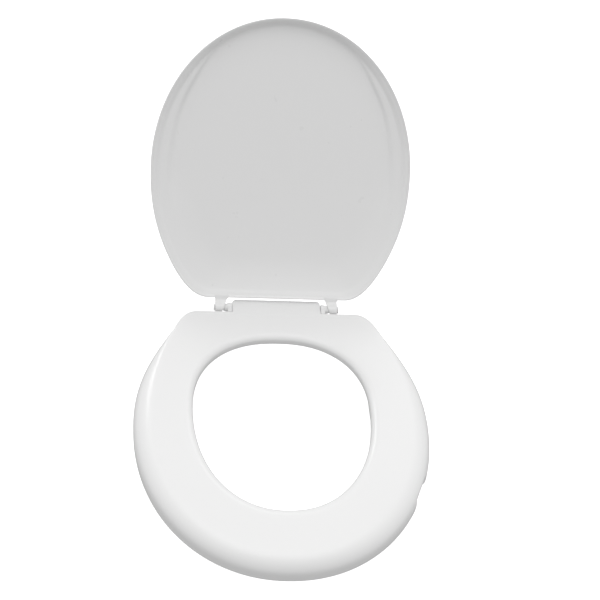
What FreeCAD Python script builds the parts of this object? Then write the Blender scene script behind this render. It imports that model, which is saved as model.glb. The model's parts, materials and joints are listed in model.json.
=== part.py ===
import FreeCAD, Part
import math
import os

from FreeCAD import Placement, Rotation, Vector

# Raised toilet seat with a hinged lid, in millimetres.
# +X is the sitter's left, +Y points to the back of the toilet, +Z is up.  The origin is under the
# middle of the whole object, level with the lower ends of the clamp brackets.  The lid stands open.

SIZES = {
    # seat outline, measured from its widest station
    "seat_half_width": 185.0,
    "seat_front_reach": 221.8,
    "seat_back_reach": 176.4,
    "seat_front_power": 2.08,
    "seat_flank_power": 2.08,
    "flat_back_half": 109.0,
    "corner_size": 31.7,
    "corner_spread": 0.9,
    "widest_station": -94.5,
    # seat ring section
    "ring_depth": 26.0,
    "flank_start": 10.8,
    "flank_inset": 22.2,
    "back_inset": 3.3,
    "lip_radius": 8.0,
    "lip_bottom": 12.0,
    "wall": 4.0,
    "channel_inset": 16.0,
    "channel_back_inset": 7.0,
    # ribs under the ring
    "rib_thickness": 2.6,
    "low_rib_start": 18.0,
    "high_rib_start": 3.5,
    "rib_overlap": 2.0,
    # opening in the seat
    "opening_half_width": 112.1,
    "opening_front_reach": 156.0,
    "opening_back_reach": 112.4,
    "opening_power": 2.2,
    "opening_station": -78.9,
    # hand notch in the flank, at the right front
    "notch_angle": -37.0,
    "notch_turn": -24.0,
    "notch_reach": 201.9,
    "notch_length": 36.0,
    "notch_slope": 24.0,
    "notch_depth": 10.0,
    "notch_height": 19.0,
    # levels above the brackets' lower ends
    "rim_level": 26.0,
    "pad_height": 3.0,
    "pad_length": 34.0,
    "pad_width": 12.0,
    "back_pad_width": 8.0,
    "riser_height": 21.0,
    # riser under the ring
    "riser_inset": 20.0,
    "riser_back_inset": 4.0,
    "riser_width": 16.0,
    "riser_back_width": 10.0,
    "riser_wall": 3.0,
    "riser_corner_relief": 22.0,
    "riser_inner_relief": 30.0,
    "riser_boss_radius": 4.9,
    # tongue and hinge
    "tongue_half_width": 60.5,
    "tongue_reach": 23.8,
    "tongue_depth": 12.0,
    "tongue_overlap": 12.0,
    "tongue_corner": 6.0,
    "hinge_reach": 10.7,
    "hinge_drop": 2.9,
    "lug_radius": 6.7,
    "lug_width": 5.7,
    "lug_gap": 0.3,
    "cone_length": 8.5,
    "cone_end_radius": 3.4,
    "cone_gap": 0.35,
    "arm_radius": 6.5,
    "arm_width": 16.6,
    "arm_thickness": 7.5,
    "arm_taper": 7.8,
    "arm_slope_start": 2.9,
    "arm_slope_end": 14.5,
    "hinge_gap": 0.4,
    "pin_radius": 3.0,
    "pin_clearance": 0.08,
    "pin_head_radius": 4.6,
    "pin_head_depth": 1.6,
    "pin_head_gap": 0.5,
    "pin_head_round": 0.8,
    # lid, drawn closed and then turned open
    "lid_side_inset": 10.3,
    "lid_front_inset": 19.3,
    "lid_back_inset": 5.5,
    "lid_front_power": 2.03,
    "lid_flank_power": 2.2,
    "lid_flat_half": 94.0,
    "lid_corner_size": 46.0,
    "lid_corner_spread": 1.09,
    "lid_gap": 0.6,
    "lid_depth": 15.0,
    "lid_wall": 2.6,
    "lid_shoulder": 12.0,
    "lid_shoulder_slant": 2.2,
    "lid_open_angle": 123.7,
    # clamp brackets
    "bracket_column": 129.5,
    "bracket_front_row": -136.0,
    "bracket_back_row": -56.0,
    "boss_radius": 7.0,
    "boss_overlap": 2.0,
    "bracket_plate": 3.5,
    "bracket_length": 46.0,
    "bracket_leg_width": 13.0,
    "bracket_inner_edge": 119.5,
    "bracket_leg_face": 131.5,
    "bracket_nose_edge": 139.5,
    "bracket_nose_width": 16.0,
    "bracket_leg_height": 33.0,
    "bracket_in_travel": 4.0,
    "bracket_out_travel": 4.0,
    "bolt_radius": 3.0,
    "bolt_head_radius": 7.5,
    "bolt_head_depth": 2.2,
    "bolt_head_gap": 0.5,
    "bolt_head_round": 0.7,
    "bolt_slot_length": 11.0,
    "bolt_slot_width": 1.8,
    "bolt_slot_depth": 1.1,
    "bolt_grip": 16.0,
    "washer_depth": 1.0,
    "washer_play": 0.1,
    "slot_clearance": 0.3,
    "leg_pad_depth": 3.0,
    "leg_pad_height": 18.0,
    "leg_pad_start": 3.0,
    "leg_pad_margin": 1.0,
    # screws that hold the riser
    "screw_radius": 2.0,
    "screw_head_radius": 4.0,
    "screw_head_depth": 2.4,
    "screw_boss_radius": 5.5,
    "screw_slot": 1.0,
    "screw_head_round": 0.8,
    "screw_head_sunk": 0.5,
    "screw_grip": 13.0,
    # fits: a press fit, a running fit, a screw's free hole, and faces that only meet
    "press_gap": 0.02,
    "running_gap": 0.05,
    "free_gap": 0.2,
    "contact_gap": 0.05,
    "foot_gap": 0.4,
}

SIDES = {"left": -1, "right": 1}
RIB_ANGLES = [22.5 * k for k in range(16)]
PAD_ANGLES = {
    "front_left": 236.0,
    "front_right": 304.0,
    "side_left": 188.0,
    "side_right": 352.0,
    "back_left": 112.0,
    "back_right": 68.0,
}
SCREW_ANGLES = [10.0, 50.0, 90.0, 130.0, 170.0, 212.0, 270.0, 328.0]

# Points that each curve of an outline is drawn through.
FLANK_STEPS = 6
FRONT_STEPS = 16
OPENING_STEPS = 32
# Turns, in degrees, at which the ring's rounded flank is drawn from its side up to its top.
FLANK_TURNS = (0, 22.5, 45, 67.5, 90)
# The least length of a rounded corner along the straight back.
SHORTEST_CORNER = 6.0
# How much of an inset also shortens the lid's straight back.
LID_FLAT_SHARE = 0.7
# Degrees to each side of a rest pad over which its direction is taken.
PAD_SWING = 3
# More than deep enough for a cut to leave the far side.
THROUGH = 5.0

doc = FreeCAD.newDocument("raised_toilet_seat")
sheet = doc.addObject("Spreadsheet::Sheet", "Sizes")
for row, (alias, value) in enumerate(SIZES.items(), start=1):
    sheet.set(f"A{row}", alias.replace("_", " "))
    sheet.set(f"B{row}", str(value))
    sheet.setAlias(f"B{row}", alias)
doc.recompute()

parts = []


def size(alias):
    """The value of one of the sheet's cells."""
    return float(sheet.get(alias))


SKIRT_LEVEL = size("rim_level") + size("pad_height") + size("riser_height")
TOP_LEVEL = SKIRT_LEVEL + size("ring_depth")
BACK_EDGE = size("widest_station") + size("seat_back_reach")
HINGE_Y = BACK_EDGE - size("back_inset") + size("hinge_reach")
HINGE_Z = TOP_LEVEL - size("hinge_drop")
BOLT_HEAD_LEVEL = size("rim_level") + size("bolt_head_gap")
PLATE_LEVEL = BOLT_HEAD_LEVEL + size("bolt_head_depth") + size("washer_depth")
BOSS_LEVEL = PLATE_LEVEL + size("bracket_plate") + size("washer_play")
LUG_START = size("tongue_half_width") + size("lug_gap")
ARM_START = LUG_START + size("lug_width") + size("hinge_gap")


# ---------------------------------------------------------------- outlines


def signed_power(value, power):
    return math.copysign(abs(value) ** power, value)


def egg_outline(half_width, front_reach, back_reach, flat_half, corner, spread, front_power, flank_power):
    """Edges of a closed outline about the widest station: a superellipse in front, a flank on
    each side that runs in to a rounded corner, and a straight back.
    """
    station = size("widest_station")
    corner_x = flat_half + spread * corner
    corner_y = back_reach - corner
    power = 2.0 / front_power

    flank = []
    for step in range(FLANK_STEPS, 0, -1):
        y = corner_y * step / FLANK_STEPS
        x = half_width - (half_width - corner_x) * (y / corner_y) ** flank_power
        flank.append(Vector(x, y, 0))
    front_points = []
    for step in range(FRONT_STEPS + 1):
        angle = math.pi / 2 - math.pi * step / FRONT_STEPS
        x = half_width * signed_power(math.sin(angle), power)
        y = -front_reach * abs(math.cos(angle)) ** power
        front_points.append(Vector(x, y, 0))
    mirrored_flank = [Vector(-p.x, p.y, 0) for p in reversed(flank)]
    points = [p + Vector(0, station, 0) for p in flank + front_points + mirrored_flank]

    slope = flank_power * (half_width - corner_x) / corner_y
    start_tangent = Vector(slope, -1, 0)
    end_tangent = Vector(slope, 1, 0)
    side_curve = Part.BSplineCurve()
    side_curve.interpolate(Points=points, InitialTangent=start_tangent, FinalTangent=end_tangent)

    back_level = back_reach + station
    corner_tip = Vector(corner_x - slope * corner, back_level, 0)
    flat_end = Vector(min(flat_half, corner_tip.x - SHORTEST_CORNER), back_level, 0)

    def rounded(first, tip, last):
        curve = Part.BezierCurve()
        curve.setPoles([first, tip, last])
        return curve.toBSpline()

    def mirrored(point):
        return Vector(-point.x, point.y, 0)

    return [
        side_curve,
        rounded(points[-1], mirrored(corner_tip), mirrored(flat_end)),
        Part.LineSegment(mirrored(flat_end), flat_end),
        rounded(flat_end, corner_tip, points[0]),
    ]


def seat_outline(side=0.0, front=0.0, back=0.0, flat=0.0):
    """The seat's outline, drawn in by the given insets."""
    return egg_outline(
        size("seat_half_width") - side,
        size("seat_front_reach") - front,
        size("seat_back_reach") - back,
        size("flat_back_half") - flat,
        size("corner_size"),
        size("corner_spread"),
        size("seat_front_power"),
        size("seat_flank_power"),
    )


def lid_outline(inset):
    """The closed lid's outline, drawn in by an inset."""
    return egg_outline(
        size("seat_half_width") - size("lid_side_inset") - inset,
        size("seat_front_reach") - size("lid_front_inset") - inset,
        size("seat_back_reach") - size("lid_back_inset") - inset,
        size("lid_flat_half") - inset * LID_FLAT_SHARE,
        size("lid_corner_size"),
        size("lid_corner_spread"),
        size("lid_front_power"),
        size("lid_flank_power"),
    )


def opening_outline(grow=0.0):
    """The egg-shaped opening as one closed spline, grown outwards."""
    power = 2.0 / size("opening_power")
    points = []
    for step in range(OPENING_STEPS):
        angle = 2 * math.pi * step / OPENING_STEPS
        reach = size("opening_back_reach") if math.sin(angle) > 0 else size("opening_front_reach")
        x = (size("opening_half_width") + grow) * signed_power(math.cos(angle), power)
        y = (reach + grow) * signed_power(math.sin(angle), power)
        points.append(Vector(x, y + size("opening_station"), 0))
    curve = Part.BSplineCurve()
    curve.interpolate(Points=points, PeriodicFlag=True)
    return [curve]


def polygon(points):
    corners = [Vector(x, y, 0) for x, y in points]
    return [Part.LineSegment(a, b) for a, b in zip(corners, corners[1:] + corners[:1])]


def rectangle(x_low, y_low, x_high, y_high):
    return polygon([(x_low, y_low), (x_high, y_low), (x_high, y_high), (x_low, y_high)])


def circle(x, y, radius):
    return [Part.Circle(Vector(x, y, 0), Vector(0, 0, 1), radius)]


def turned_rectangle(centre, angle, length, width):
    """A rectangle whose length lies along the given angle, in degrees."""
    along = Vector(math.cos(math.radians(angle)), math.sin(math.radians(angle)), 0)
    across = Vector(-along.y, along.x, 0)
    corners = []
    for u, v in ((-1, -1), (1, -1), (1, 1), (-1, 1)):
        corner = centre + along * (u * length / 2) + across * (v * width / 2)
        corners.append((corner.x, corner.y))
    return polygon(corners)


def turned_polygon(centre, angle, points):
    """A polygon of (across, outward) points about a centre; outward is the given angle, in degrees."""
    outward = Vector(math.cos(math.radians(angle)), math.sin(math.radians(angle)), 0)
    across = Vector(-outward.y, outward.x, 0)
    corners = [centre + across * u + outward * v for u, v in points]
    return polygon([(corner.x, corner.y) for corner in corners])


def outline_hit(edges, angle):
    """Where a ray from the opening's station leaves a closed outline."""
    start = Vector(0, size("opening_station"), 0)
    direction = Vector(math.cos(math.radians(angle)), math.sin(math.radians(angle)), 0)
    ray = Part.makeLine(start, start + direction * 600)
    crossings = Part.Wire([edge.toShape() for edge in edges]).distToShape(ray)[1]
    return crossings[0][1]


# ---------------------------------------------------------------- document helpers


def new_body(label, level=0.0, turn=None):
    """A body whose own origin stands at the given height, or at a full placement."""
    body = doc.addObject("PartDesign::Body", label)
    body.Label = label
    body.Placement = turn if turn else Placement(Vector(0, 0, level), Rotation())
    parts.append(body)
    return body


def lowest_edges(shape):
    """The edges that lie on a shape's flat underside."""
    return [edge for edge in shape.Edges if edge.BoundBox.ZMax < shape.BoundBox.ZMin + 0.01]


def plane_of(body, role):
    for feature in body.Origin.OriginFeatures:
        if feature.Role == role:
            return feature
    raise ValueError(f"{body.Label} has no {role}")


def new_sketch(body, name, geometry, role="XY_Plane", offset=0.0):
    sketch = body.newObject("Sketcher::SketchObject", f"{body.Label}_{name}")
    sketch.AttachmentSupport = [(plane_of(body, role), "")]
    sketch.MapMode = "FlatFace"
    sketch.AttachmentOffset = Placement(Vector(0, 0, offset), Rotation())
    sketch.addGeometry(geometry, False)
    return sketch


def add_feature(body, kind, name, sketch, length, offset=0.0, flip=False, role="XY_Plane"):
    """A Pad or Pocket of one sketch, whose length is an expression on the sheet."""
    profile = new_sketch(body, f"{name}_sketch", sketch, role, offset)
    feature = body.newObject(f"PartDesign::{kind}", f"{body.Label}_{name}")
    feature.Profile = profile
    feature.Reversed = flip
    feature.setExpression("Length", length)
    body.Tip = feature
    doc.recompute()
    return feature


def pad(body, name, sketch, length, **options):
    return add_feature(body, "Pad", name, sketch, length, **options)


def pocket(body, name, sketch, length, **options):
    """A pocket that must take something away."""
    before = body.Shape.Volume
    feature = add_feature(body, "Pocket", name, sketch, length, **options)
    if body.Shape.Volume > before - 1.0:
        raise ValueError(f"{body.Label}: {name} cuts nothing")
    return feature


def fillet(body, name, edges, radius):
    base = body.Tip
    feature = body.newObject("PartDesign::Fillet", f"{body.Label}_{name}")
    feature.Base = (base, edges)
    feature.setExpression("Radius", radius)
    body.Tip = feature
    doc.recompute()
    return feature


def edges_where(shape, test):
    """Names of the edges whose bounding box passes a test."""
    return [f"Edge{number}" for number, edge in enumerate(shape.Edges, start=1) if test(edge.BoundBox)]


# ---------------------------------------------------------------- seat ring


def flank_section(turn):
    """Insets and height of the rounded flank, a quarter ellipse from side to top."""
    inset = 1 - math.cos(math.radians(turn))
    rise = math.sin(math.radians(turn))
    side = size("flank_inset") * inset
    back = size("back_inset") * inset
    level = size("flank_start") + (size("ring_depth") - size("flank_start")) * rise
    return seat_outline(side, side, back), level


def radial_bars(inner_outline, outer_outline, width):
    """One straight bar per rib angle, from the inner outline to the outer one."""
    bars = []
    for angle in RIB_ANGLES:
        inner = outline_hit(inner_outline, angle)
        outer = outline_hit(outer_outline, angle)
        middle = (inner + outer) * 0.5
        bars += turned_rectangle(middle, angle, (outer - inner).Length, width)
    return bars


def bracket_columns():
    """Name, side and row of each of the four clamp brackets."""
    rows = {"front": size("bracket_front_row"), "back": size("bracket_back_row")}
    return [(f"{row}_{side}", SIDES[side], y) for row, y in rows.items() for side in SIDES]


def screw_points():
    """Places of the riser's screws, along the middle of its section."""
    inner, outer = riser_outlines()
    middles = []
    for angle in SCREW_ANGLES:
        middles.append((outline_hit(inner, angle) + outline_hit(outer, angle)) * 0.5)
    return middles


def riser_outlines(grow=0.0):
    """Inner and outer outlines of the riser; growing thins its section from both faces."""
    side = size("riser_inset")
    width = size("riser_width")
    back = size("riser_back_inset")
    back_width = size("riser_back_width")
    relief = size("riser_corner_relief") + grow
    outer = seat_outline(side + grow, side + grow, back + grow, relief)
    inset = side + width - grow
    inner = seat_outline(inset, inset, back + back_width - grow, size("riser_inner_relief"))
    return inner, outer


def hollow_ring(body):
    """Takes out the underside's channel and the opening, and leaves a rounded lip round the opening."""
    wall = size("wall")
    channel = size("channel_inset")
    depth = size("ring_depth")
    pocket(body, "underside", seat_outline(wall, wall, wall), "Sizes.lip_bottom", flip=True)
    deep = seat_outline(channel, channel, size("channel_back_inset"))
    pocket(body, "channel", deep, "Sizes.ring_depth - Sizes.wall", flip=True)
    lip_height = "Sizes.ring_depth - Sizes.lip_bottom - Sizes.wall / 2"
    pad(body, "lip", opening_outline(wall), lip_height, offset=size("lip_bottom"))
    pocket(body, "opening", opening_outline(), "Sizes.ring_depth * 2", offset=depth + THROUGH)

    reach = 2 * size("opening_half_width") + 1

    def round_the_opening(box):
        level = abs(box.ZMin - depth) < 0.01 and abs(box.ZMax - depth) < 0.01
        return level and size("opening_half_width") < box.YLength and box.XLength < reach

    rim = edges_where(body.Tip.Shape, round_the_opening)
    fillet(body, "lip_round", rim, "Sizes.lip_radius")


def add_ring_ribs(body):
    """Radial ribs: low ones out to the skirt, and high ones between the lip and the flank."""
    wall = size("wall")
    overlap = size("rib_overlap")
    thickness = size("rib_thickness")
    skirt = wall - overlap / 2
    outer = seat_outline(skirt, skirt, skirt)
    low_bars = radial_bars(opening_outline(size("low_rib_start")), outer, thickness)
    pad(body, "low_ribs", low_bars, "Sizes.lip_bottom")
    channel = size("channel_inset") - overlap
    back = size("channel_back_inset") - overlap
    outer = seat_outline(channel, channel, back)
    high_bars = radial_bars(opening_outline(size("high_rib_start")), outer, thickness)
    height = "Sizes.ring_depth - Sizes.lip_bottom - Sizes.wall + Sizes.rib_overlap / 2"
    pad(body, "high_ribs", high_bars, height, offset=size("lip_bottom"))


def build_seat_ring():
    body = new_body("seat_ring", SKIRT_LEVEL)
    pad(body, "skirt", seat_outline(), "Sizes.flank_start")

    sections = []
    for turn in FLANK_TURNS:
        geometry, level = flank_section(turn)
        sections.append(new_sketch(body, f"flank_{int(turn)}", geometry, offset=level))
    flank = body.newObject("PartDesign::AdditiveLoft", "seat_ring_flank")
    flank.Profile = sections[0]
    flank.Sections = sections[1:]
    flank.Ruled = False
    body.Tip = flank
    doc.recompute()

    tongue_end = BACK_EDGE - size("back_inset") + size("tongue_reach")
    half = size("tongue_half_width")
    tongue = rectangle(-half, BACK_EDGE - size("tongue_overlap"), half, tongue_end)
    pad(body, "tongue", tongue, "Sizes.tongue_depth", offset=size("ring_depth") - size("tongue_depth"))
    corners = edges_where(body.Tip.Shape, lambda box: box.YMin > tongue_end - 0.01 and box.XLength < 0.01)
    fillet(body, "tongue_corners", corners, "Sizes.tongue_corner")

    hollow_ring(body)
    add_ring_ribs(body)

    screw_bosses = []
    pilots = []
    for point in screw_points():
        screw_bosses += circle(point.x, point.y, size("screw_boss_radius"))
        pilots += circle(point.x, point.y, size("screw_radius") + size("press_gap"))
    pad(body, "screw_bosses", screw_bosses, "Sizes.ring_depth - Sizes.boss_overlap")

    drop = SKIRT_LEVEL - BOSS_LEVEL
    clamp_bosses = []
    bolt_holes = []
    for _, side, row in bracket_columns():
        clamp_bosses += circle(side * size("bracket_column"), row, size("boss_radius"))
        hole = size("bolt_radius") + size("running_gap")
        bolt_holes += circle(side * size("bracket_column"), row, hole)
    boss_height = f"Sizes.ring_depth - Sizes.boss_overlap + {drop}"
    pad(body, "clamp_bosses", clamp_bosses, boss_height, offset=-drop)
    pocket(body, "pilots", pilots, "Sizes.screw_grip + Sizes.wall", flip=True)
    pocket(body, "bolt_holes", bolt_holes, "Sizes.bolt_grip * 2", offset=-drop, flip=True)

    cut_notch(body)


def cut_notch(body):
    """A dent in the flank for the fingers, with slanted ends and a wall of its own behind it."""
    angle = math.radians(size("notch_angle"))
    face = Vector(math.cos(angle), math.sin(angle), 0) * size("notch_reach")
    face += Vector(0, size("opening_station"), 0)
    half = size("notch_length") / 2
    wall = size("wall")
    outer = half + size("notch_slope")
    backing = [(-half - wall, -wall), (half + wall, -wall), (half + wall, 0), (-half - wall, 0)]
    dent = [(-half, 0), (half, 0), (outer, size("notch_depth")), (-outer, size("notch_depth"))]
    height = "Sizes.lip_bottom + Sizes.rib_overlap / 2"
    pad(body, "notch_wall", turned_polygon(face, size("notch_turn"), backing), height)
    pocket(body, "notch", turned_polygon(face, size("notch_turn"), dent), "Sizes.notch_height", flip=True)


# ---------------------------------------------------------------- riser and its fixings


def build_riser():
    base = size("rim_level") + size("pad_height")
    body = new_body("riser_base", base)
    inner, outer = riser_outlines()
    height = "Sizes.riser_height - Sizes.free_gap"
    top = size("riser_height") - size("free_gap")
    pad(body, "frame", outer, height)
    pocket(body, "middle", inner, "Sizes.riser_height * 2", offset=top + THROUGH)
    thin_inner, thin_outer = riser_outlines(size("riser_wall"))
    pocket(body, "channel", thin_outer + thin_inner, "Sizes.riser_height - Sizes.riser_wall", offset=top)
    bosses = []
    holes = []
    sinks = []
    for point in screw_points():
        bosses += circle(point.x, point.y, size("riser_boss_radius"))
        holes += circle(point.x, point.y, size("screw_radius") + size("free_gap"))
        sinks += circle(point.x, point.y, size("screw_head_radius") + size("free_gap"))
    pad(body, "bosses", bosses, height)
    pocket(body, "screw_holes", holes, "Sizes.riser_height * 2", flip=True)
    sink_depth = "Sizes.screw_head_sunk + Sizes.screw_head_depth + Sizes.contact_gap"
    pocket(body, "head_sinks", sinks, sink_depth, flip=True)


def build_riser_screws():
    """Eight equal screws with slotted heads, each a separate solid."""
    slot_width = size("screw_slot")
    shank_length = size("riser_height") + size("screw_grip")
    screws = []
    for point in screw_points():
        head = Part.makeCylinder(size("screw_head_radius"), size("screw_head_depth"), point)
        head = head.makeFillet(size("screw_head_round"), lowest_edges(head))
        slot_start = point + Vector(-size("screw_head_radius"), -slot_width / 2, 0)
        slot = Part.makeBox(2 * size("screw_head_radius"), slot_width, slot_width, slot_start)
        shank_start = point + Vector(0, 0, size("screw_head_depth") / 2)
        shank = Part.makeCylinder(size("screw_radius"), shank_length, shank_start)
        screws.append(head.cut(slot).fuse(shank).removeSplitter())
    feature = doc.addObject("Part::Feature", "riser_screws")
    feature.Label = "riser_screws"
    feature.Shape = Part.makeCompound(screws)
    level = size("rim_level") + size("pad_height") + size("screw_head_sunk")
    feature.Placement = Placement(Vector(0, 0, level), Rotation())
    parts.append(feature)


def build_rest_pads():
    """Rubber pads under the riser, which stand on the bowl's rim."""
    inner, outer = riser_outlines()
    for name, angle in PAD_ANGLES.items():
        first = outline_hit(inner, angle)
        last = outline_hit(outer, angle)
        before = outline_hit(outer, angle - PAD_SWING)
        after = outline_hit(outer, angle + PAD_SWING)
        along = math.degrees(math.atan2(after.y - before.y, after.x - before.x))
        body = new_body(f"rest_pad_{name}", size("rim_level"))
        width = size("back_pad_width") if "back" in name else size("pad_width")
        block = turned_rectangle((first + last) * 0.5, along, size("pad_length"), width)
        pad(body, "block", block, "Sizes.pad_height")
        uprights = edges_where(body.Tip.Shape, lambda box: box.ZLength > size("pad_height") / 2)
        fillet(body, "ends", uprights, "Sizes.pad_height")


# ---------------------------------------------------------------- hinge


def hinge_knuckle(body, tag, start, width, web, eye_radius, bore_radius):
    """Adds a web and a round eye, padded along X from start, and bores the eye on the hinge line."""
    pad(body, f"web_{tag}", web, width, offset=start, role="YZ_Plane")
    eye = circle(HINGE_Y, HINGE_Z, eye_radius)
    pad(body, f"eye_{tag}", eye, width, offset=start, role="YZ_Plane")
    bore(body, tag, start, width, bore_radius)


def bore(body, tag, start, width, radius):
    """Bores a hole on the hinge line, a little longer than the knuckle at both ends."""
    hole = circle(HINGE_Y, HINGE_Z, radius)
    length = f"{width} + {2 * THROUGH}"
    pocket(body, f"bore_{tag}", hole, length, offset=start - THROUGH, role="YZ_Plane", flip=True)


def hinge_cone(body, kind, name, start, end, start_radius, end_radius):
    """A cone on the hinge line, from one X to another, added to a body or taken out of it."""
    wide = new_sketch(body, f"{name}_wide", circle(HINGE_Y, HINGE_Z, start_radius), "YZ_Plane", start)
    narrow = new_sketch(body, f"{name}_narrow", circle(HINGE_Y, HINGE_Z, end_radius), "YZ_Plane", end)
    cone = body.newObject(f"PartDesign::{kind}", f"{body.Label}_{name}")
    cone.Profile = wide
    cone.Sections = [narrow]
    body.Tip = cone
    doc.recompute()


def flank_side_view(gap):
    """The ring's rounded back, seen from the side, as points from its skirt up to its top."""
    points = []
    for turn in FLANK_TURNS:
        inset = size("back_inset") * (1 - math.cos(math.radians(turn)))
        rise = (size("ring_depth") - size("flank_start")) * math.sin(math.radians(turn))
        points.append((BACK_EDGE - inset + gap, SKIRT_LEVEL + size("flank_start") + rise))
    return points


def build_lugs():
    """A lug on each side of the tongue; it hugs the ring's back and ends in a bearing cone."""
    radius = size("lug_radius")
    back = HINGE_Y + radius
    foot = flank_side_view(size("foot_gap"))
    pin_hole = size("pin_radius") + size("press_gap")
    web = polygon(foot + [(HINGE_Y, HINGE_Z + radius), (back, HINGE_Z), (back - radius / 2, foot[0][1])])
    for name, side in SIDES.items():
        start = LUG_START if side > 0 else -LUG_START - size("lug_width")
        body = new_body(f"hinge_lug_{name}")
        hinge_knuckle(body, name, start, "Sizes.lug_width", web, radius, pin_hole)
        cone_start = side * (LUG_START + size("lug_width"))
        cone_end = cone_start + side * size("cone_length")
        hinge_cone(body, "AdditiveLoft", "cone", cone_start, cone_end, radius, size("cone_end_radius"))
        bore(body, f"cone_{name}", min(cone_start, cone_end), "Sizes.cone_length", pin_hole)


def build_pins():
    """A headed pin on each side, pressed into its lug and turned on by the lid's arm."""
    for name, side in SIDES.items():
        length = size("lug_width") + size("hinge_gap") + size("arm_width") + size("pin_head_gap")
        pin = doc.addObject("Part::Cylinder", f"pin_shank_{name}")
        pin.setExpression("Radius", "Sizes.pin_radius")
        pin.Height = length
        head = doc.addObject("Part::Cylinder", f"pin_head_{name}")
        head.setExpression("Radius", "Sizes.pin_head_radius")
        head.setExpression("Height", "Sizes.pin_head_depth")
        head.Placement = Placement(Vector(0, 0, length), Rotation())
        joined = doc.addObject("Part::Fuse", f"pin_joined_{name}")
        joined.Base = pin
        joined.Tool = head
        doc.recompute()
        rounded = doc.addObject("Part::Fillet", f"hinge_pin_{name}")
        rounded.Base = joined
        end = length + size("pin_head_depth")
        rim = edges_where(joined.Shape, lambda box: abs(box.ZMin - end) < 0.01)
        rounding = size("pin_head_round")
        rounded.Edges = [(int(name_of_edge[4:]), rounding, rounding) for name_of_edge in rim]
        rounded.Label = f"hinge_pin_{name}"
        turn = Rotation(Vector(0, 1, 0), 90 * side)
        rounded.Placement = Placement(Vector(side * LUG_START, HINGE_Y, HINGE_Z), turn)
        parts.append(rounded)


# ---------------------------------------------------------------- lid


def lid_turn():
    """The lid's placement: turned open about the hinge line."""
    pivot = Vector(0, HINGE_Y, HINGE_Z)
    swing = Rotation(Vector(1, 0, 0), -size("lid_open_angle"))
    return Placement(pivot - swing.multVec(pivot), swing)


def build_lid():
    """A dished shell with a rolled rim; its two arms reach back to the pins."""
    body = new_body("lid", turn=lid_turn())
    low = TOP_LEVEL + size("lid_gap")
    depth = size("lid_depth")
    shoulder = size("lid_shoulder")
    wall = size("lid_wall")
    slant = size("lid_shoulder_slant")

    pad(body, "rim", lid_outline(0.0), "Sizes.lid_depth - Sizes.lid_shoulder", offset=low)
    sections = []
    for turn in (0, 30, 60, 90):
        inset = slant * shoulder * (1 - math.cos(math.radians(turn)))
        level = low + depth - shoulder + shoulder * math.sin(math.radians(turn))
        sections.append(new_sketch(body, f"shoulder_{turn}", lid_outline(inset), offset=level))
    dome = body.newObject("PartDesign::AdditiveLoft", "lid_dome")
    dome.Profile = sections[0]
    dome.Sections = sections[1:]
    body.Tip = dome
    doc.recompute()

    pocket(body, "rim_hollow", lid_outline(wall), "Sizes.lid_depth - Sizes.lid_shoulder",
           offset=low, flip=True)
    inner = []
    for turn in (0, 30, 60, 90):
        reach = shoulder - wall
        inset = wall + slant * shoulder * (1 - math.cos(math.radians(turn)))
        level = low + depth - shoulder + reach * math.sin(math.radians(turn))
        inner.append(new_sketch(body, f"hollow_{turn}", lid_outline(inset), offset=level))
    before = body.Shape.Volume
    hollow = body.newObject("PartDesign::SubtractiveLoft", "lid_hollow")
    hollow.Profile = inner[0]
    hollow.Sections = inner[1:]
    body.Tip = hollow
    doc.recompute()
    if body.Shape.Volume > before / 2:
        raise ValueError("lid: the hollow cuts nothing")
    add_lid_arms(body)


def add_lid_arms(body):
    """Two arms that reach from the lid's back wall to the hinge line."""
    inside = BACK_EDGE - size("lid_back_inset") - size("lid_wall") * 0.8
    low = TOP_LEVEL + size("lid_gap")
    high = low + size("arm_thickness")
    eye = size("arm_radius")
    slope_end = math.radians(size("arm_slope_end"))
    web = polygon([
        (inside, low),
        (BACK_EDGE - size("arm_slope_start"), low),
        (HINGE_Y - eye * math.cos(slope_end), HINGE_Z - eye * math.sin(slope_end)),
        (HINGE_Y + eye * 0.7, HINGE_Z + eye * 0.7),
        (HINGE_Y, HINGE_Z + eye),
        (inside, high),
    ])
    for name, side in SIDES.items():
        start = ARM_START if side > 0 else -ARM_START - size("arm_width")
        bore_radius = size("pin_radius") + size("pin_clearance")
        hinge_knuckle(body, name, start, "Sizes.arm_width", web, eye, bore_radius)

        inner = side * (ARM_START - THROUGH)
        taper_start = BACK_EDGE - size("lid_back_inset")
        taper_end = HINGE_Y + 2 * eye
        face = side * ARM_START
        wedge = polygon([
            (inner, taper_start),
            (face, taper_start),
            (face + side * size("arm_taper"), HINGE_Y + eye),
            (face + side * size("arm_taper"), taper_end),
            (inner, taper_end),
        ])
        pocket(body, f"taper_{name}", wedge, "Sizes.ring_depth * 2", offset=SKIRT_LEVEL, flip=True)

        gap = size("cone_gap")
        wide_end = side * (LUG_START + size("lug_width"))
        narrow_end = wide_end + side * (size("cone_length") + gap)
        wide = size("lug_radius") + gap
        hinge_cone(body, "SubtractiveLoft", f"cone_{name}", wide_end, narrow_end, wide,
                   size("cone_end_radius") + gap)


# ---------------------------------------------------------------- clamp brackets


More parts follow.
